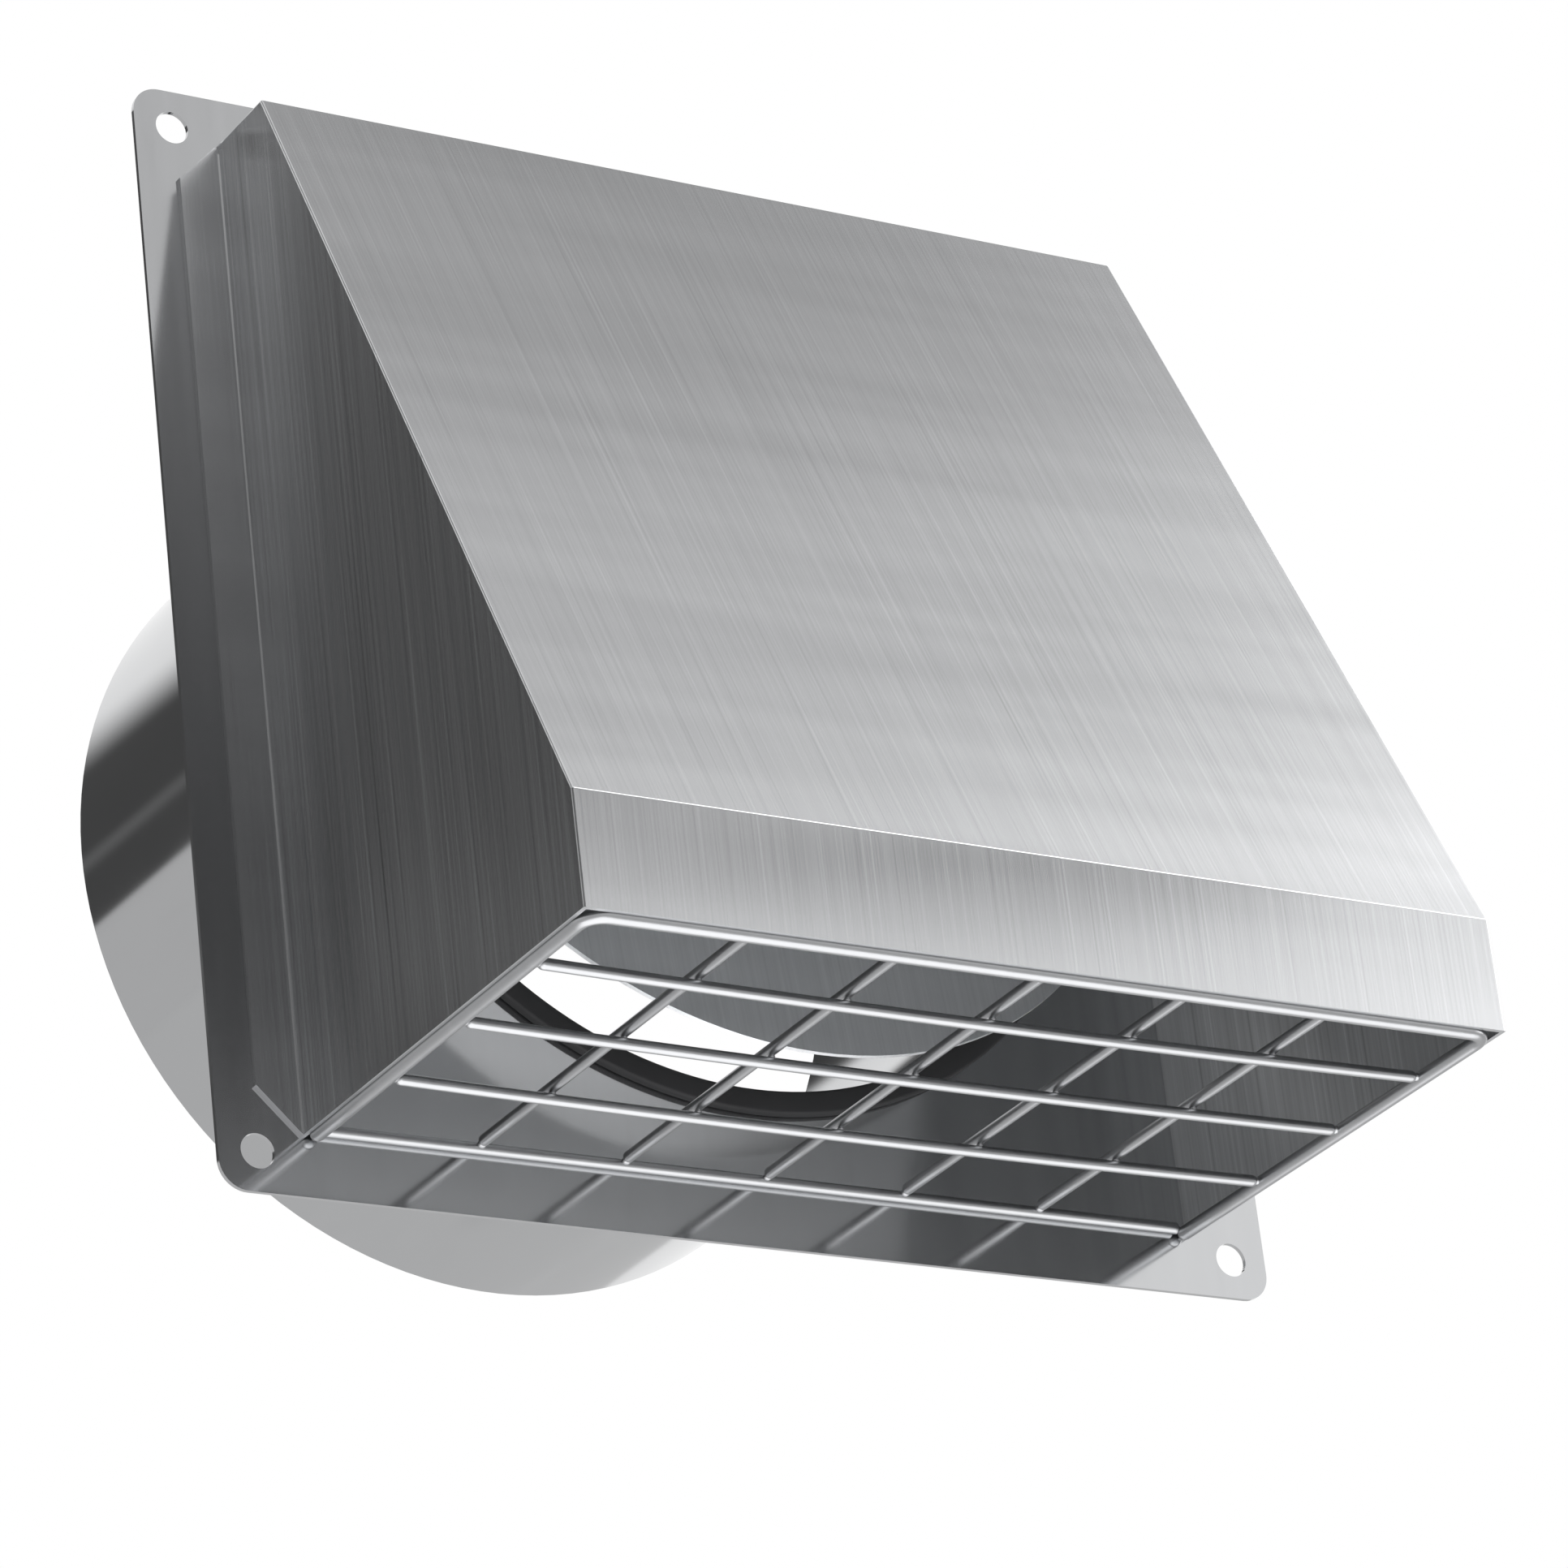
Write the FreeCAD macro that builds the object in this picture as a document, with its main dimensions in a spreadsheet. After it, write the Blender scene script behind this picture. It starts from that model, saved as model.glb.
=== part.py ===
import FreeCAD, Part
import math
import os
import re

import Sketcher

# Wall vent hood of folded stainless sheet, for a round dryer duct.
# The duct's axis is Y and the wall is the plane Y = 0: the spigot goes into the wall towards +Y,
# the hood stands out towards -Y and opens downwards.

# Driving dimensions in millimetres and degrees
SIZES = [
    ("plate_width", 200, "wall plate, side to side"),
    ("plate_height", 200, "wall plate, top to bottom"),
    ("plate_corner", 5, "wall plate, corner radius"),
    ("plate_sheet", 0.8, "wall plate, thickness"),
    ("screw_hole", 6, "wall screw hole, diameter"),
    ("screw_inset", 7, "wall screw hole, centre to each edge of the plate"),
    ("duct_diameter", 150, "spigot, outside diameter"),
    ("duct_wall", 0.6, "spigot, wall"),
    ("duct_length", 87, "spigot, length behind the wall plate"),
    ("duct_set", 0.1, "spigot, length set into its hole in the plate"),
    ("duct_fit", 0.05, "spigot in its hole in the plate, radial clearance"),
    ("seal_overlap", 1.7, "seal face, reach outside the spigot"),
    ("seal_lip", 1.8, "seal sleeve, thickness inside the spigot"),
    ("seal_fit", 0.05, "seal sleeve in the spigot, radial clearance"),
    ("seal_face", 2, "seal face, height in front of the plate"),
    ("seal_depth", 8, "seal sleeve, depth behind the plate's front"),
    ("seal_bevel", 0.6, "seal face, bevel of its edges"),
    ("hood_width", 170, "hood, outside width"),
    ("hood_top", 90.7, "hood, top above the duct's axis"),
    ("hood_foot", 10.3, "hood, bottom edge above the plate's bottom edge"),
    ("hood_depth", 92.4, "hood, lip to the plate's front"),
    ("hood_crown", 16.9, "hood, depth of the top to the plate's front"),
    ("hood_lip", 19.6, "hood, height of the upright lip"),
    ("hood_sheet", 0.8, "hood, thickness"),
    ("hood_edge", 0.4, "hood, outside radius of its folds and its dressed corner seams"),
    ("hood_crease", 0.25, "hood, size of the facet in the creases at its side flanges"),
    ("flange_width", 7.7, "hood flange, width outside the wall"),
    ("relief_width", 1.2, "corner relief between the mitred flanges, width"),
    ("relief_height", 1.8, "corner relief between the mitred flanges, height"),
    ("pin_diameter", 2.5, "hinge pin, diameter"),
    ("pin_fit", 0.05, "hinge pin in its curl, lugs and clips, radial clearance"),
    ("pin_rise", 3.2, "hinge pin, axis above the flap's round edge"),
    ("pin_overhang", 1.6, "hinge pin, reach past each lug"),
    ("pin_bevel", 0.25, "hinge pin, bevel at its ends"),
    ("flap_inset", 0.7, "flap edge inside the seal's outer edge"),
    ("flap_sheet", 0.8, "flap, thickness"),
    ("flap_gap", 0.3, "closed flap to seal face"),
    ("flap_angle", 7.4, "flap at rest, angle from closed"),
    ("tab_width", 46, "flap's hinge tab, width"),
    ("curl_angle", 250, "flap's hinge curl, angle round the pin"),
    ("lug_sheet", 0.8, "hinge lug, thickness"),
    ("lug_gap", 0.5, "hinge lug to flap tab, side clearance"),
    ("lug_nose", 3, "hinge lug, radius round the pin"),
    ("lug_foot", 9, "hinge lug, width of the foot welded to the plate"),
    ("clip_diameter", 6.5, "push-on clip, outside diameter"),
    ("clip_sheet", 0.5, "push-on clip, thickness"),
    ("clip_slot", 0.6, "push-on clip, slot width"),
    ("clip_gap", 0.2, "push-on clip to lug, side clearance"),
    ("frame_wire", 2.5, "grille frame, wire diameter"),
    ("frame_bend", 3.5, "grille frame, bend radius at the wire's centre"),
    ("frame_end", 1.9, "grille frame, ends to the plate's front"),
    ("grille_wire", 2, "grille bars, wire diameter"),
    ("weld_gap", 0.05, "wires to what they are welded to"),
    ("back_rise", 0.9, "back bar above the grille frame"),
    ("long_count", 3, "long bars, number"),
    ("long_first", 25.4, "long bars, the rear one to the plate's front"),
    ("long_pitch", 23.2, "long bars, spacing"),
    ("long_bow", 0.7, "long bars, sag at the middle"),
    ("cross_count", 5, "cross bars, number"),
    ("cross_pitch", 26.7, "cross bars, spacing"),
]

doc = FreeCAD.newDocument("wall_vent_hood")
sheet = doc.addObject("Spreadsheet::Sheet", "Sizes")
for row, (alias, value, note) in enumerate(SIZES, start=1):
    sheet.set("A%d" % row, alias)
    sheet.set("B%d" % row, str(value))
    sheet.set("C%d" % row, note)
    sheet.setAlias("B%d" % row, alias)
doc.recompute()

# Sizes worked out from the driving ones, each written once as an expression
DERIVED = [
    ("plate_front", "-plate_sheet"),
    ("duct_radius", "duct_diameter / 2"),
    ("duct_bore", "duct_radius - duct_wall"),
    ("seal_outer", "duct_radius + seal_overlap"),
    ("seal_leg", "duct_bore - seal_fit"),
    ("seal_inner", "seal_leg - seal_lip"),
    ("seal_front", "plate_front - seal_face"),
    ("hood_bottom", "plate_height / 2 - hood_foot"),
    ("hood_side", "hood_width / 2"),
    ("hood_inside", "hood_side - hood_sheet"),
    ("hood_front", "plate_front - hood_depth"),
    ("hood_knee", "hood_lip - hood_bottom"),
    ("slope_run", "(hood_depth - hood_crown) / (hood_top - hood_knee)"),
    ("slope_stretch", "sqrt(1 + slope_run^2)"),
    ("pin_radius", "pin_diameter / 2"),
    ("curl_inner", "pin_radius + pin_fit"),
    ("curl_outer", "curl_inner + flap_sheet"),
    ("flap_radius", "seal_outer - flap_inset"),
    ("pin_height", "flap_radius + pin_rise"),
    ("pin_front", "seal_front - flap_gap - curl_outer"),
    ("lug_side", "tab_width / 2 + lug_gap"),
    ("pin_half", "lug_side + lug_sheet + pin_overhang"),
    ("clip_side", "lug_side + lug_sheet + clip_gap"),
    ("frame_radius", "frame_wire / 2"),
    ("bar_radius", "grille_wire / 2"),
    ("frame_side", "hood_inside - weld_gap - frame_radius"),
    ("frame_front", "hood_front + hood_sheet + weld_gap + frame_radius"),
    ("frame_back", "plate_front - frame_end"),
    ("frame_level", "-hood_bottom"),
    ("bar_half", "frame_side - frame_radius - weld_gap"),
    ("back_place", "plate_front - bar_radius - weld_gap"),
    ("long_radius", "(bar_half^2 + long_bow^2) / (2 * long_bow)"),
    ("cross_outer", "cross_pitch * (cross_count - 1) / 2"),
    ("long_centre", "frame_level - long_bow + long_radius"),
    ("cross_level", "long_centre - sqrt(long_radius^2 - cross_outer^2) + grille_wire + weld_gap"),
    ("cross_front", "frame_front + frame_radius + weld_gap"),
    ("cross_back", "back_place - bar_radius - weld_gap"),
]
for row, (alias, formula) in enumerate(DERIVED, start=len(SIZES) + 2):
    sheet.set("A%d" % row, alias)
    sheet.set("B%d" % row, "=" + formula)
    sheet.setAlias("B%d" % row, alias)
doc.recompute()

CELLS = {alias: "Sizes." + alias for alias, *rest in SIZES + DERIVED}


def bound(formula):
    """The formula with each size's name pointed at its cell."""
    return re.sub("[a-z_]+", lambda word: CELLS.get(word.group(), word.group()), formula)


def amount(formula):
    """The formula's present value."""
    value = sheet.evalExpression(bound(formula))
    return float(getattr(value, "Value", value))


# Helpers for bodies, sketches and features
def new_body(name):
    body = doc.addObject("PartDesign::Body", name)
    body.Label = name
    return body


def origin_plane(body, role):
    return [item for item in body.Origin.OriginFeatures if item.Role == role][0]


def new_sketch(body, name, role, offset=None):
    """A sketch on one of the body's origin planes, moved along the plane's normal."""
    sketch = body.newObject("Sketcher::SketchObject", name)
    sketch.AttachmentSupport = [(origin_plane(body, role), "")]
    sketch.MapMode = "FlatFace"
    if offset is not None:
        sketch.setExpression("AttachmentOffset.Base.z", bound(offset))
    return sketch


def pin_point(sketch, geometry, end, across, up):
    """Hold one point of a sketch at two formulas."""
    for kind, formula in (("DistanceX", across), ("DistanceY", up)):
        index = sketch.addConstraint(Sketcher.Constraint(kind, geometry, end, amount(formula)))
        sketch.setExpression("Constraints[%d]" % index, bound(formula))


def add_line(sketch, start, end):
    places = [FreeCAD.Vector(amount(x), amount(y), 0) for x, y in (start, end)]
    return sketch.addGeometry(Part.LineSegment(*places), False)


def add_outline(sketch, corners):
    """A closed outline of straight runs through corners given as formulas."""
    runs = []
    for number, corner in enumerate(corners):
        runs.append(add_line(sketch, corner, corners[(number + 1) % len(corners)]))
    for number, run in enumerate(runs):
        following = runs[(number + 1) % len(runs)]
        sketch.addConstraint(Sketcher.Constraint("Coincident", run, 2, following, 1))
        pin_point(sketch, run, 1, *corners[number])


def add_circle(sketch, across, up, radius):
    centre = FreeCAD.Vector(amount(across), amount(up), 0)
    circle = Part.Circle(centre, FreeCAD.Vector(0, 0, 1), amount(radius))
    geometry = sketch.addGeometry(circle, False)
    index = sketch.addConstraint(Sketcher.Constraint("Radius", geometry, amount(radius)))
    sketch.setExpression("Constraints[%d]" % index, bound(radius))
    pin_point(sketch, geometry, 3, across, up)
    return geometry


def pad(body, name, sketch, length, symmetric=False, reverse=False):
    feature = body.newObject("PartDesign::Pad", name)
    feature.Profile = sketch
    feature.setExpression("Length", bound(length))
    if symmetric:
        feature.SideType = "Symmetric"
    feature.Reversed = reverse
    return feature


def pocket(body, name, sketch, length, reverse=False):
    feature = body.newObject("PartDesign::Pocket", name)
    feature.Profile = sketch
    feature.setExpression("Length", bound(length))
    feature.Reversed = reverse
    return feature


def mirror(body, name, original, role):
    feature = body.newObject("PartDesign::Mirrored", name)
    feature.Originals = [original]
    feature.MirrorPlane = (origin_plane(body, role), [""])
    body.Tip = feature
    return feature


def fillet(body, name, base, edges, radius):
    feature = body.newObject("PartDesign::Fillet", name)
    feature.Base = (base, edges)
    feature.setExpression("Radius", bound(radius))
    return feature


def bevel(body, name, base, edges, size):
    feature = body.newObject("PartDesign::Chamfer", name)
    feature.Base = (base, edges)
    feature.setExpression("Size", bound(size))
    return feature


def edges_where(feature, test):
    """Names of the feature's edges whose end points and middle all pass the test."""
    names = []
    for number, edge in enumerate(feature.Shape.Edges, start=1):
        first, last = edge.ParameterRange
        points = [edge.valueAt(first), edge.valueAt((first + last) / 2), edge.valueAt(last)]
        if test(points):
            names.append("Edge%d" % number)
    return names


CLOSE = 1e-4


def near(value, formula):
    return abs(value - amount(formula)) < CLOSE


# Wall plate: one square of sheet with rounded corners, the duct's hole and four screw holes
def wall_plate():
    body = new_body("wall_plate")
    outline = new_sketch(body, "plate_outline", "XZ_Plane")
    add_outline(outline, [
        ("-plate_width / 2", "-plate_height / 2"),
        ("plate_width / 2", "-plate_height / 2"),
        ("plate_width / 2", "plate_height / 2"),
        ("-plate_width / 2", "plate_height / 2"),
    ])
    blank = pad(body, "plate_blank", outline, "plate_sheet")
    doc.recompute()
    corners = edges_where(blank, lambda points: near(abs(points[0].x), "plate_width / 2")
                          and near(abs(points[0].z), "plate_height / 2")
                          and near((points[0] - points[2]).Length, "plate_sheet"))
    fillet(body, "plate_corners", blank, corners, "plate_corner")
    holes = new_sketch(body, "plate_holes", "XZ_Plane")
    add_circle(holes, "0", "0", "duct_radius + duct_fit")
    across = "plate_width / 2 - screw_inset"
    up = "plate_height / 2 - screw_inset"
    for side in ("", "-"):
        for end in ("", "-"):
            add_circle(holes, side + "(" + across + ")", end + "(" + up + ")", "screw_hole / 2")
    pocket(body, "plate_cuts", holes, "plate_sheet", reverse=True)
    return body


# Spigot: a plain round tube, whose end is set into the back edge of the plate's hole
def duct_spigot():
    body = new_body("duct_spigot")
    ring = new_sketch(body, "duct_ring", "XZ_Plane", "duct_set")
    add_circle(ring, "0", "0", "duct_radius")
    add_circle(ring, "0", "0", "duct_bore")
    pad(body, "duct_tube", ring, "duct_length + duct_set", reverse=True)
    return body


# Seal: a rubber ring with a sleeve inside the spigot and a face in front of the plate
def seal_ring():
    body = new_body("seal_ring")
    section = new_sketch(body, "seal_section", "YZ_Plane")
    add_outline(section, [
        ("plate_front", "seal_outer"),
        ("seal_front", "seal_outer"),
        ("seal_front", "seal_inner"),
        ("plate_front + seal_depth", "seal_inner"),
        ("plate_front + seal_depth", "seal_leg"),
        ("plate_front", "seal_leg"),
    ])
    turned = body.newObject("PartDesign::Revolution", "seal_turned")
    turned.Profile = section
    turned.ReferenceAxis = (section, ["H_Axis"])
    doc.recompute()
    front = edges_where(turned, lambda points: all(near(p.y, "seal_front") for p in points))
    bevel(body, "seal_edges", turned, front, "seal_bevel")
    return body


# Hood: sheet folded to a top, a slope and an upright lip, closed by two welded sides whose seams
# are dressed to a small radius, with mitred flanges on three sides
def hood_shell():
    body = new_body("hood_shell")
    profile = new_sketch(body, "hood_profile", "YZ_Plane")
    add_outline(profile, [
        ("plate_front", "-hood_bottom"),
        ("hood_front", "-hood_bottom"),
        ("hood_front", "hood_knee"),
        ("plate_front - hood_crown", "hood_top"),
        ("plate_front", "hood_top"),
    ])
    block = pad(body, "hood_block", profile, "hood_width", symmetric=True)
    doc.recompute()
    folds = edges_where(block, lambda points: not all(near(p.y, "plate_front") for p in points)
                        and not all(near(p.z, "-hood_bottom") for p in points))
    fillet(body, "hood_folds", block, folds, "hood_edge")
    doc.recompute()
    hollow = new_sketch(body, "hood_hollow_profile", "YZ_Plane")
    add_outline(hollow, [
        ("plate_front", "-hood_bottom"),
        ("hood_front + hood_sheet", "-hood_bottom"),
        ("hood_front + hood_sheet", "hood_knee - hood_sheet * (slope_stretch - 1) / slope_run"),
        ("plate_front - hood_crown + hood_sheet * (slope_stretch - slope_run)", "hood_top - hood_sheet"),
        ("plate_front", "hood_top - hood_sheet"),
    ])
    emptied = pocket(body, "hood_hollow", hollow, "2 * hood_inside")
    emptied.SideType = "Symmetric"
    doc.recompute()

    side = new_sketch(body, "side_flange_outline", "XZ_Plane", "plate_sheet")
    add_outline(side, [
        ("-hood_inside", "hood_top - relief_height"),
        ("-hood_side", "hood_top"),
        ("-hood_side - flange_width", "hood_top - flange_width"),
        ("-hood_side - flange_width", "flange_width - hood_bottom"),
        ("-hood_side", "-hood_bottom"),
        ("-hood_inside", "-hood_bottom"),
    ])
    left = pad(body, "side_flange", side, "hood_sheet")
    mirror(body, "side_flanges", left, "YZ_Plane")

    top = new_sketch(body, "top_flange_outline", "XZ_Plane", "plate_sheet")
    add_outline(top, [
        ("hood_edge - hood_side", "hood_top - hood_sheet"),
        ("-hood_side", "hood_top"),
        ("flange_width - hood_side", "hood_top + flange_width"),
        ("hood_side - flange_width", "hood_top + flange_width"),
        ("hood_side", "hood_top"),
        ("hood_side - hood_edge", "hood_top - hood_sheet"),
    ])
    pad(body, "top_flange", top, "hood_sheet")

    notch = new_sketch(body, "relief_outline", "XZ_Plane", "plate_sheet")
    add_outline(notch, [
        ("-hood_side - relief_width / 2", "hood_top - relief_height / 2"),
        ("-hood_side + relief_width / 2", "hood_top - relief_height / 2"),
        ("-hood_side + relief_width / 2", "hood_top + relief_height / 2"),
        ("-hood_side - relief_width / 2", "hood_top + relief_height / 2"),
    ])
    cut = pocket(body, "relief", notch, "hood_sheet", reverse=True)
    mirror(body, "reliefs", cut, "YZ_Plane")

    bend = new_sketch(body, "side_crease_section", "XY_Plane", "hood_crease - hood_bottom")
    add_outline(bend, [
        ("-hood_side", "plate_front - hood_sheet"),
        ("-hood_side", "plate_front - hood_sheet - hood_crease"),
        ("-hood_side - hood_crease", "plate_front - hood_sheet"),
    ])
    crease = pad(body, "side_crease", bend, "hood_bottom + hood_top - relief_height - hood_crease")
    mirror(body, "side_creases", crease, "YZ_Plane")
    doc.recompute()
    return body


# Flap: a round disc with a straight tab at the top, curled round the hinge pin.
# It is drawn closed about the pin's axis, then turned to its angle at rest.
def damper_flap():
    body = new_body("damper_flap")
    face = new_sketch(body, "flap_outline", "XZ_Plane", "-curl_outer")
    add_circle(face, "0", "-pin_height", "flap_radius")
    pad(body, "flap_disc", face, "flap_sheet")
    tab = new_sketch(body, "tab_outline", "XZ_Plane", "-curl_outer")
    add_outline(tab, [
        ("-tab_width / 2", "flap_radius / 2 - pin_height"),
        ("tab_width / 2", "flap_radius / 2 - pin_height"),
        ("tab_width / 2", "0"),
        ("-tab_width / 2", "0"),
    ])
    pad(body, "flap_tab", tab, "flap_sheet")

    curl = new_sketch(body, "curl_section", "YZ_Plane")
    centre = FreeCAD.Vector(0, 0, 0)
    up = FreeCAD.Vector(0, 0, 1)
    wrap = math.radians(amount("curl_angle"))
    arcs = []
    for radius in ("curl_outer", "curl_inner"):
        circle = Part.Circle(centre, up, amount(radius))
        arcs.append(curl.addGeometry(Part.ArcOfCircle(circle, 0, wrap), False))
        index = curl.addConstraint(Sketcher.Constraint("Radius", arcs[-1], amount(radius)))
        curl.setExpression("Constraints[%d]" % index, bound(radius))
        curl.addConstraint(Sketcher.Constraint("Coincident", arcs[-1], 3, -1, 1))
        curl.addConstraint(Sketcher.Constraint("PointOnObject", arcs[-1], 1, -1))
    ends = []
    for end in (1, 2):
        places = [curl.getPoint(arc, end) for arc in arcs]
        ends.append(curl.addGeometry(Part.LineSegment(*places), False))
        curl.addConstraint(Sketcher.Constraint("Coincident", ends[-1], 1, arcs[0], end))
        curl.addConstraint(Sketcher.Constraint("Coincident", ends[-1], 2, arcs[1], end))
    curl.addConstraint(Sketcher.Constraint("PointOnObject", -1, 1, ends[1]))
    index = curl.addConstraint(Sketcher.Constraint("Angle", ends[0], 2, ends[1], 2, wrap))
    curl.setExpression("Constraints[%d]" % index, bound("curl_angle * 1 deg"))
    pad(body, "flap_curl", curl, "tab_width", symmetric=True)

    body.Placement.Rotation = FreeCAD.Rotation(FreeCAD.Vector(-1, 0, 0), amount("flap_angle"))
    body.setExpression(".Placement.Base.y", bound("pin_front"))
    body.setExpression(".Placement.Base.z", bound("pin_height"))
    body.setExpression(".Placement.Rotation.Angle", bound("flap_angle"))
    doc.recompute()
    return body


# Hinge lug: a bent strip with its foot on the plate and its ear round the pin
def hinge_lug(name, side):
    body = new_body(name)
    sign = "-" if side < 0 else ""
    foot = new_sketch(body, name + "_foot_outline", "XZ_Plane", "plate_sheet")
    add_outline(foot, [
        (sign + "lug_side", "pin_height - lug_nose"),
        (sign + "(lug_side + lug_foot)", "pin_height - lug_nose"),
        (sign + "(lug_side + lug_foot)", "pin_height + lug_nose"),
        (sign + "lug_side", "pin_height + lug_nose"),
    ])
    pad(body, name + "_foot", foot, "lug_sheet")
    offset = "lug_side" if side > 0 else "-(lug_side + lug_sheet)"
    strip = new_sketch(body, name + "_ear_outline", "YZ_Plane", offset)
    add_outline(strip, [
        ("plate_front", "pin_height - lug_nose"),
        ("plate_front", "pin_height + lug_nose"),
        ("pin_front", "pin_height + lug_nose"),
        ("pin_front", "pin_height - lug_nose"),
    ])
    pad(body, name + "_ear", strip, "lug_sheet")
    nose = new_sketch(body, name + "_nose_outline", "YZ_Plane", offset)
    add_circle(nose, "pin_front", "pin_height", "lug_nose")
    pad(body, name + "_nose", nose, "lug_sheet")
    eye = new_sketch(body, name + "_eye_outline", "YZ_Plane", offset)
    add_circle(eye, "pin_front", "pin_height", "curl_inner")
    pocket(body, name + "_eye", eye, "lug_sheet", reverse=True)
    doc.recompute()
    return body


# Hinge pin: a straight rod through both lugs and the curl
def hinge_pin():
    body = new_body("hinge_pin")
    section = new_sketch(body, "pin_section", "YZ_Plane")
    add_circle(section, "pin_front", "pin_height", "pin_radius")
    rod = pad(body, "pin_rod", section, "2 * pin_half", symmetric=True)
    doc.recompute()
    ends = edges_where(rod, lambda points: all(near(abs(p.x), "pin_half") for p in points))
    bevel(body, "pin_ends", rod, ends, "pin_bevel")
    return body


# Push-on clip: a slotted washer that keeps the pin in its lugs
def pin_clip(name, side):
    body = new_body(name)
    offset = "clip_side" if side > 0 else "-(clip_side + clip_sheet)"
    ring = new_sketch(body, name + "_outline", "YZ_Plane", offset)
    add_circle(ring, "pin_front", "pin_height", "clip_diameter / 2")
    add_circle(ring, "pin_front", "pin_height", "curl_inner")
    pad(body, name + "_washer", ring, "clip_sheet")
    reach = "(clip_diameter / 2 + curl_inner) / 2"
    half = "clip_slot / 2"
    for way, across, up in (("upright", half, reach), ("level", reach, half)):
        slot = new_sketch(body, "%s_%s_slot" % (name, way), "YZ_Plane", offset)
        add_outline(slot, [
            ("pin_front - " + across, "pin_height - " + up),
            ("pin_front + " + across, "pin_height - " + up),
            ("pin_front + " + across, "pin_height + " + up),
            ("pin_front - " + across, "pin_height + " + up),
        ])
        pocket(body, "%s_%s_cut" % (name, way), slot, "clip_sheet", reverse=True)
    return body


# Grille frame: one wire bent to a U inside the hood's bottom edge, its ends near the plate
def grille_frame():
    body = new_body("grille_frame")
    path = new_sketch(body, "frame_path", "XY_Plane", "frame_level")
    start = ("-frame_side", "frame_back")
    left = ("-frame_side", "frame_front + frame_bend")
    front_left = ("frame_bend - frame_side", "frame_front")
    front_right = ("frame_side - frame_bend", "frame_front")
    right = ("frame_side", "frame_front + frame_bend")
    end = ("frame_side", "frame_back")
    runs = []
    for near_end, far_end in ((start, left), (front_left, front_right), (right, end)):
        runs.append(add_line(path, near_end, far_end))
        pin_point(path, runs[-1], 1, *near_end)
        pin_point(path, runs[-1], 2, *far_end)
    bend = amount("frame_bend")
    for side, (before, after) in ((-1, (0, 1)), (1, (1, 2))):
        centre = FreeCAD.Vector(side * (amount("frame_side") - bend), amount("frame_front") + bend, 0)
        circle = Part.Circle(centre, FreeCAD.Vector(0, 0, 1), bend)
        first = math.pi if side < 0 else 1.5 * math.pi
        arc = path.addGeometry(Part.ArcOfCircle(circle, first, first + math.pi / 2), False)
        path.addConstraint(Sketcher.Constraint("Tangent", runs[before], 2, arc, 1))
        path.addConstraint(Sketcher.Constraint("Coincident", runs[after], 1, arc, 2))
    section = new_sketch(body, "frame_section", "XZ_Plane", "-frame_back")
    add_circle(section, "-frame_side", "frame_level", "frame_radius")
    doc.recompute()
    wire = body.newObject("PartDesign::AdditivePipe", "frame_wire_bent")
    wire.Profile = section
    wire.Spine = (path, [])
    doc.recompute()
    return body


# Back bar: a straight wire against the plate, between the frame's two sides
def back_bar():
    body = new_body("back_bar")
    section = new_sketch(body, "back_bar_section", "YZ_Plane")
    add_circle(section, "back_place", "frame_level + back_rise", "bar_radius")
    pad(body, "back_bar_wire", section, "2 * bar_half", symmetric=True)
    return body


# Long bar: a wire from side to side under the cross bars, sprung down a little at the middle
def long_bar(number):
    name = "long_bar_%d" % (number + 1)
    body = new_body(name)
    section = new_sketch(body, name + "_section", "YZ_Plane")
    place = "plate_front - long_first - long_pitch * %d" % number
    add_circle(section, place, "frame_level - long_bow", "bar_radius")
    ends = ((place, "long_centre"), (place + " - long_pitch", "long_centre"))
    axis = add_line(section, *ends)
    section.toggleConstruction(axis)
    for end, (across, up) in enumerate(ends, start=1):
        pin_point(section, axis, end, across, up)
    wire = body.newObject("PartDesign::Revolution", name + "_wire")
    wire.Profile = section
    wire.ReferenceAxis = (section, ["Axis0"])
    wire.Midplane = True
    wire.setExpression("Angle", bound("2 * asin(bar_half / long_radius)"))
    doc.recompute()
    return body


# Cross bar: a straight wire from the frame's front to the back bar, lying on the long bars
def cross_bar(number):
    name = "cross_bar_%d" % (number + 1)
    body = new_body(name)
    section = new_sketch(body, name + "_section", "XZ_Plane", "-cross_front")
    add_circle(section, "cross_pitch * %d - cross_outer" % number, "cross_level", "bar_radius")
    pad(body, name + "_wire", section, "cross_back - cross_front", reverse=True)
    return body


bodies = [
    wall_plate(),
    duct_spigot(),
    seal_ring(),
    hood_shell(),
    damper_flap(),
    hinge_lug("hinge_lug_left", -1),
    hinge_lug("hinge_lug_right", 1),
    hinge_pin(),
    pin_clip("pin_clip_left", -1),
    pin_clip("pin_clip_right", 1),
    grille_frame(),
    back_bar(),
]
bodies += [long_bar(number) for number in range(int(amount("long_count")))]
bodies += [cross_bar(number) for number in range(int(amount("cross_count")))]
doc.recompute()

# Every feature has to be sound, and every body one valid solid, before anything is written
for item in doc.Objects:
    if "Invalid" in item.State or "Error" in item.State:
        raise RuntimeError("%s failed: %s" % (item.Name, item.State))
for body in bodies:
    if body.Shape.isNull() or not body.Shape.isValid() or len(body.Shape.Solids) != 1:
        raise RuntimeError("%s isn't one valid solid" % body.Label)

os.makedirs("parts", exist_ok=True)
for body in bodies:
    body.Shape.exportStep("parts/%s.step" % body.Label)
    box = body.Shape.BoundBox
    print("%-16s volume %10.1f mm3, x %.1f to %.1f, y %.1f to %.1f, z %.1f to %.1f" % (
        body.Label, body.Shape.Volume, box.XMin, box.XMax, box.YMin, box.YMax, box.ZMin, box.ZMax))
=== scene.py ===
import math

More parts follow.
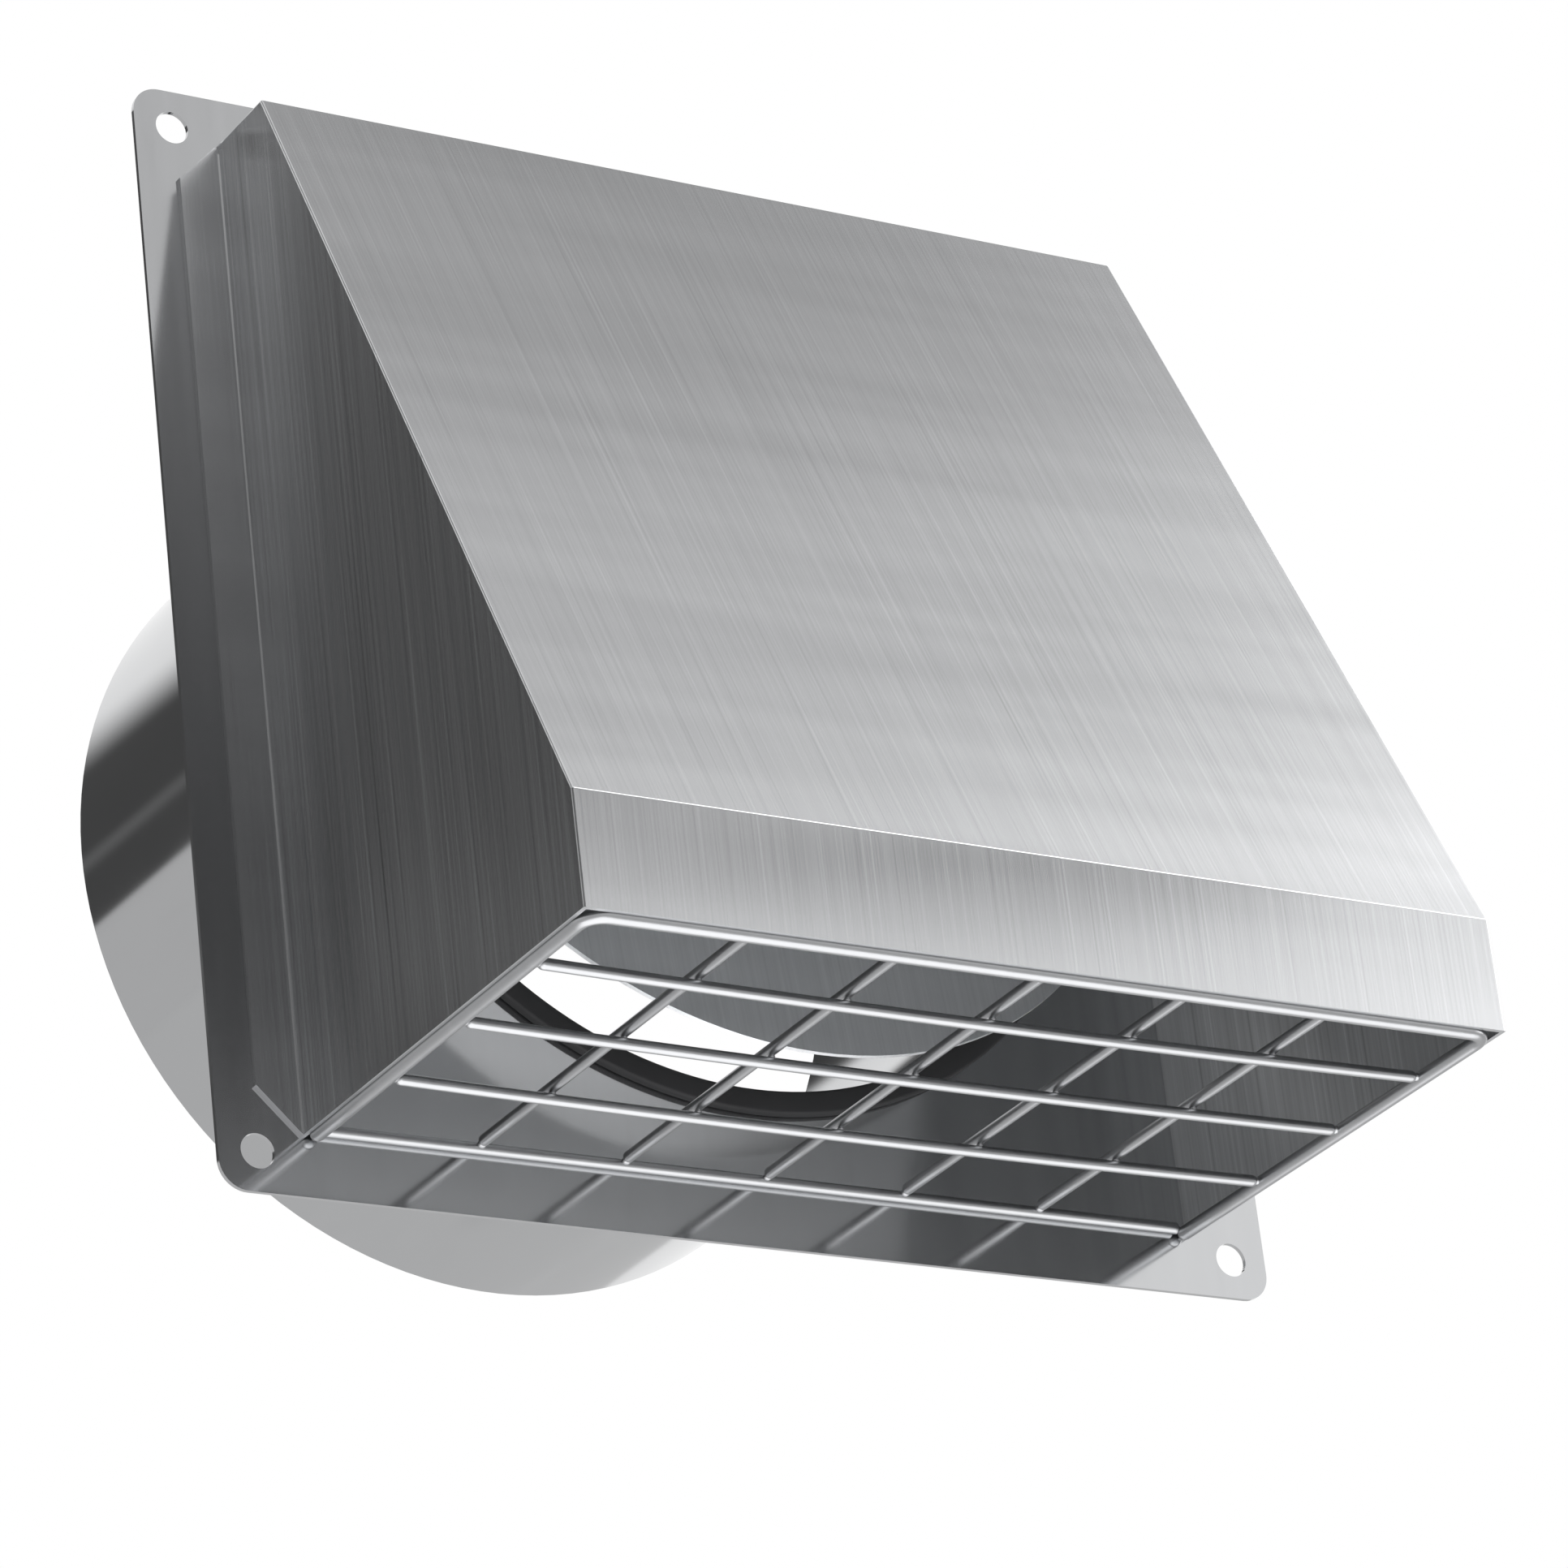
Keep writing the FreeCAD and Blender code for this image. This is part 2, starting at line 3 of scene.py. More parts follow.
import bpy
from mathutils import Matrix, Vector


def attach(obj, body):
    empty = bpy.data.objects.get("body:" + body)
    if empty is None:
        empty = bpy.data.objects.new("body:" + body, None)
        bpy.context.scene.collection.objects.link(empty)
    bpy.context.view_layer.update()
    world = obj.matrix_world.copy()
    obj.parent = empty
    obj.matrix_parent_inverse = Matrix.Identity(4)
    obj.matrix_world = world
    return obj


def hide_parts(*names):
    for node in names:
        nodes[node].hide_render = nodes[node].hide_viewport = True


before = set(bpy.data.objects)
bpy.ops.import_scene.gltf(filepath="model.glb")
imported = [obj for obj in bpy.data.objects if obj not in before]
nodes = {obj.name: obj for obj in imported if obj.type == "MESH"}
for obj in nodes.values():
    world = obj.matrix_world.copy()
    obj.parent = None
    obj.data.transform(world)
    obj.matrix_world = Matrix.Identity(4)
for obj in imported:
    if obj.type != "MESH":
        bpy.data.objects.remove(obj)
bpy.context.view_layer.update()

scene = bpy.context.scene
scene.view_settings.view_transform = "Standard"

# Camera: low in front of the hood's left corner and looking up into its mouth, so that the slope,
# the left side, the grille and the duct behind the plate all show.
camera = bpy.data.objects.new("camera", bpy.data.cameras.new("camera"))
camera.data.lens = 162.05
camera.data.sensor_width = 36
camera.data.clip_start = 0.01
camera.data.clip_end = 100
camera.matrix_world = Matrix((
    (0.85566555, -0.12632896, -0.50187396, -0.587134),
    (-0.50605691, -0.40729236, -0.76027583, -0.911187),
    (-0.10836457, 0.90451862, -0.41243568, -0.508095),
    (0, 0, 0, 1),
))
scene.collection.objects.link(camera)
scene.camera = camera

# Wall plate: one square of bright-rolled stainless sheet, cut with rounded corners, the duct's hole
# and four screw holes. The rolls leave it nearly a mirror, with a faint cloud and fine lines in it.


def lay(tree, kind, inputs=None, **settings):
    """One node of a material or a group, with its settings and its inputs' values or links."""
    node = tree.nodes.new(kind)
    for name, value in settings.items():
        setattr(node, name, value)
    for name, value in (inputs or {}).items():
        if isinstance(value, bpy.types.NodeSocket):
            tree.links.new(value, node.inputs[name])
        else:
            node.inputs[name].default_value = value
    return node


def maths(tree, operation, *values, **settings):
    """What one Math node makes of these values, each a number or a socket."""
    return lay(tree, "ShaderNodeMath", dict(enumerate(values)), operation=operation, **settings).outputs[0]


def open_group(name, kind, inputs, outputs):
    """An empty node group with named sockets, and its two end nodes."""
    group = bpy.data.node_groups.new(name, kind)
    for title, socket_type, value in inputs:
        socket = group.interface.new_socket(title, in_out="INPUT", socket_type="NodeSocket" + socket_type)
        if value is not None:
            socket.default_value = value
    for title, socket_type in outputs:
        group.interface.new_socket(title, in_out="OUTPUT", socket_type="NodeSocket" + socket_type)
    return group, group.nodes.new("NodeGroupInput"), group.nodes.new("NodeGroupOutput")


def drifting(tree, place, per_metre):
    """Soft noise over the surface, with this many changes per metre along X, Y and Z."""
    counted = lay(tree, "ShaderNodeVectorMath", {0: place, 1: per_metre}, operation="MULTIPLY").outputs[0]
    return lay(tree, "ShaderNodeTexNoise",
               {"Vector": counted, "Scale": 1.0, "Detail": 2.0, "Roughness": 0.6}).outputs["Fac"]


grain, given, made = open_group(
    "steel_grain", "ShaderNodeTree",
    (
        ("Place", "Vector", None),
        ("Lines per Metre", "Vector", None),
        ("Clouds per Metre", "Vector", (12.0, 12.0, 12.0)),
        ("Steel", "Color", None),
        ("Contrast", "Float", 0.1),
        ("Cloudiness", "Float", 0.05),
        ("Roughness", "Float", 0.2),
        ("Roughness Spread", "Float", 0.05),
    ),
    (("Color", "Color"), ("Roughness", "Float"), ("Height", "Float")),
)
asked = given.outputs
lines = drifting(grain, asked["Place"], asked["Lines per Metre"])
centred = maths(grain, "SUBTRACT", lines, 0.5)
# A few lines are cut deep and most are faint, so the extremes of the noise are stretched
faint_lines = 0.8
deep_lines = 20.0
depth = maths(grain, "MULTIPLY", centred, centred)
lifted = maths(grain, "MULTIPLY_ADD", depth, deep_lines, faint_lines)
cuts = maths(grain, "MULTIPLY", centred, lifted)
clouds = drifting(grain, asked["Place"], asked["Clouds per Metre"])
cloud = maths(grain, "SUBTRACT", clouds, 0.5)
clouded = maths(grain, "MULTIPLY_ADD", cloud, asked["Cloudiness"], 1.0)
shade = maths(grain, "MULTIPLY_ADD", cuts, asked["Contrast"], clouded)
tint = lay(grain, "ShaderNodeVectorMath", {0: asked["Steel"], "Scale": shade}, operation="SCALE").outputs[0]
matt = maths(grain, "MULTIPLY_ADD", centred, asked["Roughness Spread"], asked["Roughness"])
grain.links.new(tint, made.inputs["Color"])
grain.links.new(matt, made.inputs["Roughness"])
grain.links.new(lines, made.inputs["Height"])


def start_material(name):
    """A new material and its empty tree."""
    material = bpy.data.materials.new(name)
    material.use_nodes = True
    material.node_tree.nodes.clear()
    return material, material.node_tree


relief_depth = 0.00005


def steel(name, grey, roughness, lines, contrast, spread, bump):
    """A rolled, drawn or pressed stainless finish; lines are counts per metre along X, Y and Z."""
    material, tree = start_material(name)
    worked = lay(tree, "ShaderNodeGroup", {
        "Place": lay(tree, "ShaderNodeTexCoord").outputs["Object"],
        "Lines per Metre": lines,
        "Steel": (*grey, 1.0),
        "Contrast": contrast,
        "Roughness": roughness,
        "Roughness Spread": spread,
    }, node_tree=grain)
    relief = lay(tree, "ShaderNodeBump",
                 {"Height": worked.outputs["Height"], "Strength": bump, "Distance": relief_depth})
    skin = lay(tree, "ShaderNodeBsdfPrincipled", {
        "Base Color": worked.outputs["Color"],
        "Metallic": 1.0,
        "Roughness": worked.outputs["Roughness"],
        "Normal": relief.outputs["Normal"],
    })
    lay(tree, "ShaderNodeOutputMaterial", {"Surface": skin.outputs[0]})
    return material


def dress(material, *names):
    """Give CAD nodes this finish."""
    for name in names:
        for slot in nodes[name].material_slots:
            slot.material = material


plate_steel = steel("rolled_plate", (0.598, 0.604, 0.614), 0.11, (260, 40, 30), 0.06, 0.04, 0.01)
dress(plate_steel, "wall_plate")

# Spigot: a tube rolled up from thin bright sheet and welded along its length, with the polish of
# the strip it came from, so that it mirrors the room in long straight bands.
spigot_steel = steel("rolled_tube", (0.575, 0.581, 0.590), 0.09, (90, 30, 90), 0.05, 0.05, 0.015)
dress(spigot_steel, "duct_spigot")

# Hood: belt-brushed stainless sheet, folded to the top, the slope and the lip, with the two sides
# welded in, their seams dressed, and three mitred flanges spot-welded to the plate.


def between(tree, share, first, second, kind):
    """The first value where the share is 0 and the second where it is 1; kind is VECTOR or RGBA."""
    start, end, result = {"VECTOR": (4, 5, 1), "RGBA": (6, 7, 2)}[kind]
    mixed = lay(tree, "ShaderNodeMix", {0: share, start: first, end: second}, data_type=kind)
    return mixed.outputs[result]


def ranged(tree, share, first, second):
    """A number that goes from the first to the second as the share goes from 0 to 1."""
    return lay(tree, "ShaderNodeMapRange", {0: share, 3: first, 4: second}).outputs[0]


# A face is a side where the X part of its normal is more than this, and a side's lines are coarser
side_facing = 0.7
side_fineness = 0.55
panel_clouds = (5.0, 55.0, 55.0)
side_clouds = (0.0, 45.0, 6.0)


def brushed_steel(name, grey, roughness, lines, contrast, side_contrast, spread, painted_inside=None):
    """A sheet brushed along its height: lines are counts per metre across and along the brushing,
    and the last argument gives the grey and the roughness behind the panels and the grey behind the sides.
    The grey behind the panels is painted light: it is much lighter than the steel, to stand in for light
    inside the hood."""
    material, tree = start_material(name)
    place = lay(tree, "ShaderNodeTexCoord").outputs
    facing = lay(tree, "ShaderNodeSeparateXYZ", {0: place["Normal"]}).outputs["X"]
    side = maths(tree, "GREATER_THAN", maths(tree, "ABSOLUTE", facing), side_facing)
    across, along = lines
    panel_lines = (across, along, along)
    side_lines = (along, across * side_fineness, along)
    worked = lay(tree, "ShaderNodeGroup", {
        "Place": place["Object"],
        "Lines per Metre": between(tree, side, panel_lines, side_lines, "VECTOR"),
        "Clouds per Metre": between(tree, side, panel_clouds, side_clouds, "VECTOR"),
        "Steel": (*grey, 1.0),
        "Contrast": ranged(tree, side, contrast, side_contrast),
        "Cloudiness": 0.4,
        "Roughness": roughness,
        "Roughness Spread": spread,
    }, node_tree=grain)
    if painted_inside is not None:
        # A face is a back where its normal points towards the origin, the middle of the wall plate. The
        # backs are rougher, and the backs of the panels get a much lighter grey, which is painted light.
        outward = lay(tree, "ShaderNodeVectorMath", {0: place["Normal"], 1: place["Object"]},
                      operation="DOT_PRODUCT").outputs["Value"]
        inward = maths(tree, "LESS_THAN", outward, 0.0)
        panel_back_painted_light, back_roughness, side_back = painted_inside
        backs_painted_light = between(tree, side, (*panel_back_painted_light, 1.0), (*side_back, 1.0), "RGBA")
        greys_with_painted_inside = between(tree, inward, (*grey, 1.0), backs_painted_light, "RGBA")
        tree.links.new(ranged(tree, inward, roughness, back_roughness), worked.inputs["Roughness"])
        tree.links.new(greys_with_painted_inside, worked.inputs["Steel"])
    skin = lay(tree, "ShaderNodeBsdfPrincipled", {
        "Base Color": worked.outputs["Color"],
        "Metallic": 1.0,
        "Roughness": worked.outputs["Roughness"],
        "Anisotropic": 0.85,
        "Tangent": between(tree, side, (1.0, 0.0, 0.0), (0.0, 1.0, 0.0), "VECTOR"),
    })
    lay(tree, "ShaderNodeOutputMaterial", {"Surface": skin.outputs[0]})
    return material


# Behind the panels the grey is painted much lighter than the steel, as painted light inside the hood's
# mouth; behind the sides it stays the plain grey, and all the backs are rougher
hood_inside_painted_light = ((0.85, 0.86, 0.87), 0.45, (0.60, 0.605, 0.61))
brushed_sheet = brushed_steel("brushed_sheet", (0.598, 0.604, 0.614), 0.22, (2400, 10), 0.2, 0.5, 0.07,
                              hood_inside_painted_light)
dress(brushed_sheet, "hood_shell")

# Flap: a disc of stainless sheet with a tab on top, which is rolled round the hinge pin and hangs
# from it. It is brushed up and down like the hood, but duller, and its grey is painted much lighter than the
# hood's steel, as painted light on the flap inside the hood's mouth.
flap_sheet_painted_light = brushed_steel("brushed_flap_painted_light", (0.87, 0.88, 0.89), 0.36, (1800, 12), 0.2, 0.2, 0.1)
dress(flap_sheet_painted_light, "damper_flap")

# Hinge: two bent lugs welded to the plate, a drawn pin through them and the flap's rolled tab, and
# a push-on clip over the pin inside each lug.
lug_steel = steel("pressed_lug", (0.50, 0.505, 0.515), 0.2, (400, 400, 60), 0.1, 0.08, 0.05)
dress(lug_steel, "hinge_lug_left", "hinge_lug_right")
drawn_pin = steel("drawn_pin", (0.60, 0.605, 0.62), 0.15, (60, 900, 900), 0.1, 0.06, 0.05)
dress(drawn_pin, "hinge_pin")
clip_steel = steel("spring_clip", (0.42, 0.425, 0.435), 0.22, (500, 500, 500), 0.1, 0.08, 0.05)
dress(clip_steel, "pin_clip_left", "pin_clip_right")

# Seal: a moulded rubber ring, whose sleeve is pushed into the spigot and whose flat face stands in
# front of the plate for the flap to close on. Its edges are moulded round.
seal_inner = 0.07255
seal_leg = 0.07435
seal_outer = 0.0767
seal_front = -0.0028
seal_seat = -0.0008
seal_back = 0.0072
seal_edge = 0.0006
seal_steps = 5
seal_turns = 192


def rounded(corners, radius, steps):
    """The corners of a closed outline with each one turned by a small arc."""
    edge_share = 0.45
    points = []
    for number, corner in enumerate(corners):
        before = Vector(corners[number - 1])
        after = Vector(corners[(number + 1) % len(corners)])
        here = Vector(corner)
        come = (before - here).normalized()
        leave = (after - here).normalized()
        size = min(radius, edge_share * (before - here).length, edge_share * (after - here).length)
        centre = here + (come + leave) * size
        for step in range(steps + 1):
            turn = math.pi / 2 * step / steps
            points.append(centre - leave * size * math.cos(turn) - come * size * math.sin(turn))
    return points


seal_outline = rounded(
    [(seal_inner, seal_front), (seal_outer, seal_front), (seal_outer, seal_seat),
     (seal_leg, seal_seat), (seal_leg, seal_back), (seal_inner, seal_back)],
    seal_edge, seal_steps,
)
seal_points = []
seal_faces = []
for turn in range(seal_turns):
    angle = 2 * math.pi * turn / seal_turns
    seal_points += [(r * math.cos(angle), y, r * math.sin(angle)) for r, y in seal_outline]
    for step in range(len(seal_outline)):
        here = turn * len(seal_outline)
        there = (turn + 1) % seal_turns * len(seal_outline)
        after = (step + 1) % len(seal_outline)
        seal_faces.append((here + step, here + after, there + after, there + step))
seal_mesh = bpy.data.meshes.new("moulded_seal")
seal_mesh.from_pydata(seal_points, [], seal_faces)
seal_mesh.polygons.foreach_set("use_smooth", [True] * len(seal_faces))
seal = bpy.data.objects.new("moulded_seal", seal_mesh)
scene.collection.objects.link(seal)

rubber, rubber_tree = start_material("moulded_rubber")
rubber_place = lay(rubber_tree, "ShaderNodeTexCoord").outputs["Object"]
bloom = lay(rubber_tree, "ShaderNodeTexNoise",
            {"Vector": rubber_place, "Scale": 90.0, "Detail": 4.0}).outputs["Fac"]
pores = lay(rubber_tree, "ShaderNodeTexNoise",
            {"Vector": rubber_place, "Scale": 2200.0, "Detail": 2.0}).outputs["Fac"]
bloom_shade = between(rubber_tree, bloom, (0.012, 0.012, 0.013, 1), (0.026, 0.026, 0.028, 1), "RGBA")
bloom_matt = ranged(rubber_tree, bloom, 0.62, 0.8)
pore_relief = lay(rubber_tree, "ShaderNodeBump",
                  {"Height": pores, "Strength": 0.3, "Distance": relief_depth}).outputs["Normal"]
rubber_skin = lay(rubber_tree, "ShaderNodeBsdfPrincipled",
                  {"Base Color": bloom_shade, "Roughness": bloom_matt, "Normal": pore_relief})
lay(rubber_tree, "ShaderNodeOutputMaterial", {"Surface": rubber_skin.outputs[0]})
seal_mesh.materials.append(rubber)
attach(seal, "housing")
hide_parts("seal_ring")

# Grille frame and back bar: polished drawn wire, bent to a U inside the hood's bottom edge, with a
# straight wire across its open end. Both are electro-polished after welding.
bright_wire = steel("bright_wire", (0.42, 0.425, 0.435), 0.32, (300, 300, 300), 0.08, 0.05, 0.02)
dress(bright_wire, "grille_frame", "back_bar")

# Long bars: three thinner wires from side to side under the cross bars, cut with rounded ends and
# sprung down a little at the middle when they were welded.
wire_tree, given, made = open_group(
    "drawn_wire", "GeometryNodeTree",
    (
        ("Geometry", "Geometry", None),
        ("From", "Vector", None),
        ("To", "Vector", None),
        ("Radius", "Float", 0.001),
        ("Sag", "Float", 0.0),
        ("Points", "Int", 121),
        ("Sides", "Int", 20),
        ("Finish", "Material", None),
    ),
    (("Geometry", "Geometry"),),
)
asked = given.outputs
straight = lay(wire_tree, "GeometryNodeCurvePrimitiveLine", {"Start": asked["From"], "End": asked["To"]})
divided = lay(wire_tree, "GeometryNodeResampleCurve",
              {"Curve": straight.outputs[0], "Count": asked["Points"]})
run = lay(wire_tree, "GeometryNodeSplineParameter").outputs["Factor"]
# The points crowd towards the wire's ends, where it is rounded off
swing = maths(wire_tree, "COSINE", maths(wire_tree, "MULTIPLY", run, math.pi))
part_way = maths(wire_tree, "MULTIPLY_ADD", swing, -0.5, 0.5)
spot = between(wire_tree, part_way, asked["From"], asked["To"], "VECTOR")
# The share of the sag is 0 at both ends and 1 half way
hang = maths(wire_tree, "MULTIPLY", part_way, maths(wire_tree, "SUBTRACT", 1.0, part_way))
fall = maths(wire_tree, "MULTIPLY", maths(wire_tree, "MULTIPLY", hang, -4.0), asked["Sag"])
down = lay(wire_tree, "ShaderNodeCombineXYZ", {"Z": fall}).outputs[0]
hung = lay(wire_tree, "GeometryNodeSetPosition",
           {"Geometry": divided.outputs[0], "Position": spot, "Offset": down})
# Nearer to an end than the wire's radius, the wire narrows as a ball does
length = lay(wire_tree, "ShaderNodeVectorMath", {0: asked["From"], 1: asked["To"]},
             operation="DISTANCE").outputs["Value"]
near_end = maths(wire_tree, "MINIMUM", run, maths(wire_tree, "SUBTRACT", 1.0, run))
reach = maths(wire_tree, "MULTIPLY", near_end, length)
nose = maths(wire_tree, "DIVIDE", reach, asked["Radius"], use_clamp=True)
short = maths(wire_tree, "SUBTRACT", 1.0, nose)
square = maths(wire_tree, "MULTIPLY", short, short)
dome = maths(wire_tree, "SQRT", maths(wire_tree, "SUBTRACT", 1.0, square))
ring = lay(wire_tree, "GeometryNodeCurvePrimitiveCircle",
           {"Resolution": asked["Sides"], "Radius": asked["Radius"]})
skin = lay(wire_tree, "GeometryNodeCurveToMesh",
           {"Curve": hung.outputs[0], "Profile Curve": ring.outputs[0], "Scale": dome})
closed = lay(wire_tree, "GeometryNodeMergeByDistance", {"Geometry": skin.outputs[0], "Distance": 1e-6})
smooth = lay(wire_tree, "GeometryNodeSetShadeSmooth", {"Geometry": closed.outputs[0]})
real = lay(wire_tree, "GeometryNodeRealizeInstances", {"Geometry": smooth.outputs[0]})
finished = lay(wire_tree, "GeometryNodeSetMaterial",
               {"Geometry": real.outputs[0], "Material": asked["Finish"]})
wire_tree.links.new(finished.outputs[0], made.inputs[0])


def grown(name, tree, start=None, **values):
    """A piece with the plain mesh that a tree of nodes gives for these inputs."""
    piece = bpy.data.objects.new(name, start or bpy.data.meshes.new(name))
    scene.collection.objects.link(piece)
    step = piece.modifiers.new(name, "NODES")
    step.node_group = tree
    for socket in tree.interface.items_tree:
        title = socket.name.lower()
        if socket.in_out == "INPUT" and title in values:
            step[socket.identifier] = values[title]
    settled = bpy.context.evaluated_depsgraph_get()
    mesh = bpy.data.meshes.new_from_object(piece.evaluated_get(settled), depsgraph=settled)
    piece.modifiers.remove(step)
    piece.data = mesh
    mesh.name = name
    return piece


bar_radius = 0.001
bar_half = 0.0816
long_level = -0.0897
long_sag = 0.0007
long_places = (-0.0262, -0.0494, -0.0726)
for number, y in enumerate(long_places, start=1):
    bar = grown("sprung_bar_%d" % number, wire_tree, radius=bar_radius, sag=long_sag, finish=bright_wire,
                **{"from": (-bar_half, y, long_level), "to": (bar_half, y, long_level)})
    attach(bar, "housing")
    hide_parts("long_bar_%d" % number)

# Cross bars: five straight wires as thick as the long bars, which they lie on and are welded to.
# They go from the frame's front to the back bar.
cross_front = -0.0898
cross_back = -0.0029
cross_level = -0.08805
cross_pitch = 0.0267
cross_places = [cross_pitch * place for place in (-2, -1, 0, 1, 2)]
for number, x in enumerate(cross_places, start=1):
    bar = grown("straight_bar_%d" % number, wire_tree, radius=bar_radius, finish=bright_wire,
                **{"from": (x, cross_front, cross_level), "to": (x, cross_back, cross_level)})
    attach(bar, "housing")
    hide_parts("cross_bar_%d" % number)

# Weld nuggets: where two wires were pressed together and resistance-welded, a little steel flowed
# out between them and set as a small smooth bead, at each crossing and at each wire's end.
bead_tree, given, made = open_group(
    "weld_bead", "GeometryNodeTree",
    (
        ("Geometry", "Geometry", None),
        ("Radius", "Float", 0.0008),
        ("Flatness", "Float", 0.6),
        ("Unevenness", "Float", 0.15),
        ("Seed", "Int", 7),
        ("Finish", "Material", None),
    ),
    (("Geometry", "Geometry"),),
)
asked = given.outputs
ball = lay(bead_tree, "GeometryNodeMeshIcoSphere", {"Radius": asked["Radius"], "Subdivisions": 3})
least = maths(bead_tree, "SUBTRACT", 1.0, asked["Unevenness"])
most = maths(bead_tree, "ADD", 1.0, asked["Unevenness"])
size = lay(bead_tree, "FunctionNodeRandomValue", {2: least, 3: most, "Seed": asked["Seed"]},
           data_type="FLOAT").outputs[1]
low = maths(bead_tree, "MULTIPLY", size, asked["Flatness"])
shape = lay(bead_tree, "ShaderNodeCombineXYZ", {0: size, 1: size, 2: low}).outputs[0]
set_down = lay(bead_tree, "GeometryNodeInstanceOnPoints",
               {"Points": asked["Geometry"], "Instance": ball.outputs[0], "Scale": shape})
real = lay(bead_tree, "GeometryNodeRealizeInstances", {"Geometry": set_down.outputs[0]})
smooth = lay(bead_tree, "GeometryNodeSetShadeSmooth", {"Geometry": real.outputs[0]})
finished = lay(bead_tree, "GeometryNodeSetMaterial",
               {"Geometry": smooth.outputs[0], "Material": asked["Finish"]})
bead_tree.links.new(finished.outputs[0], made.inputs[0])


def beads(name, spots, **values):
    """A bead of weld at each of these spots."""
    marks = bpy.data.meshes.new(name)
    marks.from_pydata(spots, [], [])
    return grown(name, bead_tree, marks, finish=bright_wire, **values)


crossing_spots = []
for y in long_places:
    for x in cross_places:
        sagged = long_level - long_sag * (1 - (x / bar_half) ** 2)
        crossing_spots.append((x, y, (sagged + cross_level) / 2))
crossing_welds = beads("crossing_welds", crossing_spots, radius=0.0006, flatness=0.8, unevenness=0.1, seed=7)

both_sides = (-1, 1)
side_weld = bar_half + 0.0001
back_bar_place = -0.00185
back_bar_level = -0.0888
front_weld_level = cross_level - 0.0006
back_weld_level = cross_level - 0.0004
end_spots = [(side * side_weld, y, long_level) for y in long_places for side in both_sides]
end_spots += [(side * side_weld, back_bar_place, back_bar_level) for side in both_sides]
end_spots += [(x, cross_front, front_weld_level) for x in cross_places]
end_spots += [(x, cross_back, back_weld_level) for x in cross_places]
end_welds = beads("end_welds", end_spots, radius=0.0008, flatness=0.8, unevenness=0.1, seed=11)

frame_half = 0.0829
frame_end = -0.00245
frame_spots = [(side * frame_half, frame_end, long_level) for side in both_sides]
frame_welds = beads("frame_welds", frame_spots, radius=0.00125, flatness=0.95, unevenness=0.02, seed=3)
for welds in (crossing_welds, end_welds, frame_welds):
    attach(welds, "housing")

# Studio: a plain pale floor far below, a white room, soft boxes on the right, above and below, and
# soft grey cards for the steel to mirror. Three of the cards stand close to the lip and the spigot.
middle = Vector((0, -0.003, 0))


def faced(thing, direction, distance, upright=(0, 0, 1)):
    """Set a lamp or a card in this direction from the object, facing it."""
    towards = Vector(direction).normalized()
    side = Vector(upright).cross(towards).normalized()
    turn = Matrix((side, towards.cross(side), towards)).transposed()
    thing.matrix_world = Matrix.Translation(middle + towards * distance) @ turn.to_4x4()
    scene.collection.objects.link(thing)


def softbox(name, direction, distance, width, height, radiance):
    """A rectangular lamp of this radiance."""
    light = bpy.data.lights.new(name, "AREA")
    light.shape = "RECTANGLE"
    light.size = width
    light.size_y = height
    light.energy = radiance * math.pi * width * height
    lamp = bpy.data.objects.new(name, light)
    lamp.visible_camera = False
    faced(lamp, direction, distance)


softbox("key_box", (0.53, -0.53, 0.64), 1.3, 0.42, 0.44, 4.6)
softbox("right_strip", (0.84, -0.50, 0.22), 1.1, 0.4, 0.8, 3.2)
softbox("right_top", (0.79, 0.0, 0.61), 1.3, 0.4, 0.4, 1.9)
softbox("low_box", (0.05, -0.1, -1.0), 1.0, 1.8, 1.8, 1.7)


def card(name, direction, distance, width, height, grey, edges, upright=(0, 0, 1)):
    """A grey card that only reflections see, fading out at its left, right, lower and upper edges."""
    sheet = bpy.data.meshes.new(name)
    x, y = width / 2, height / 2
    sheet.from_pydata([(-x, -y, 0), (x, -y, 0), (x, y, 0), (-x, y, 0)], [], [(0, 1, 2, 3)])
    board = bpy.data.objects.new(name, sheet)
    faced(board, direction, distance, upright)
    board.visible_camera = False
    board.visible_diffuse = False
    board.visible_shadow = False
    board.visible_transmission = False
    paint, tree = start_material(name)
    spot = lay(tree, "ShaderNodeSeparateXYZ", {0: lay(tree, "ShaderNodeTexCoord").outputs["Object"]})
    left, right, lower, upper = edges
    inside = []
    for axis, half, way, edge in (
        ("X", x, -1, left), ("X", x, 1, right), ("Y", y, -1, lower), ("Y", y, 1, upper),
    ):
        away = maths(tree, "MULTIPLY", spot.outputs[axis], way)
        inside.append(lay(tree, "ShaderNodeMapRange", {0: away, 1: half, 2: half - edge},
                          interpolation_type="SMOOTHSTEP").outputs[0])
    solid = inside[0]
    for part in inside[1:]:
        solid = maths(tree, "MULTIPLY", solid, part)
    clear = lay(tree, "ShaderNodeBsdfTransparent")
    glow = lay(tree, "ShaderNodeEmission", {"Color": (grey, grey, grey, 1)})
    mixed = lay(tree, "ShaderNodeMixShader", {0: solid, 1: clear.outputs[0], 2: glow.outputs[0]})
    lay(tree, "ShaderNodeOutputMaterial", {"Surface": mixed.outputs[0]})
    sheet.materials.append(paint)


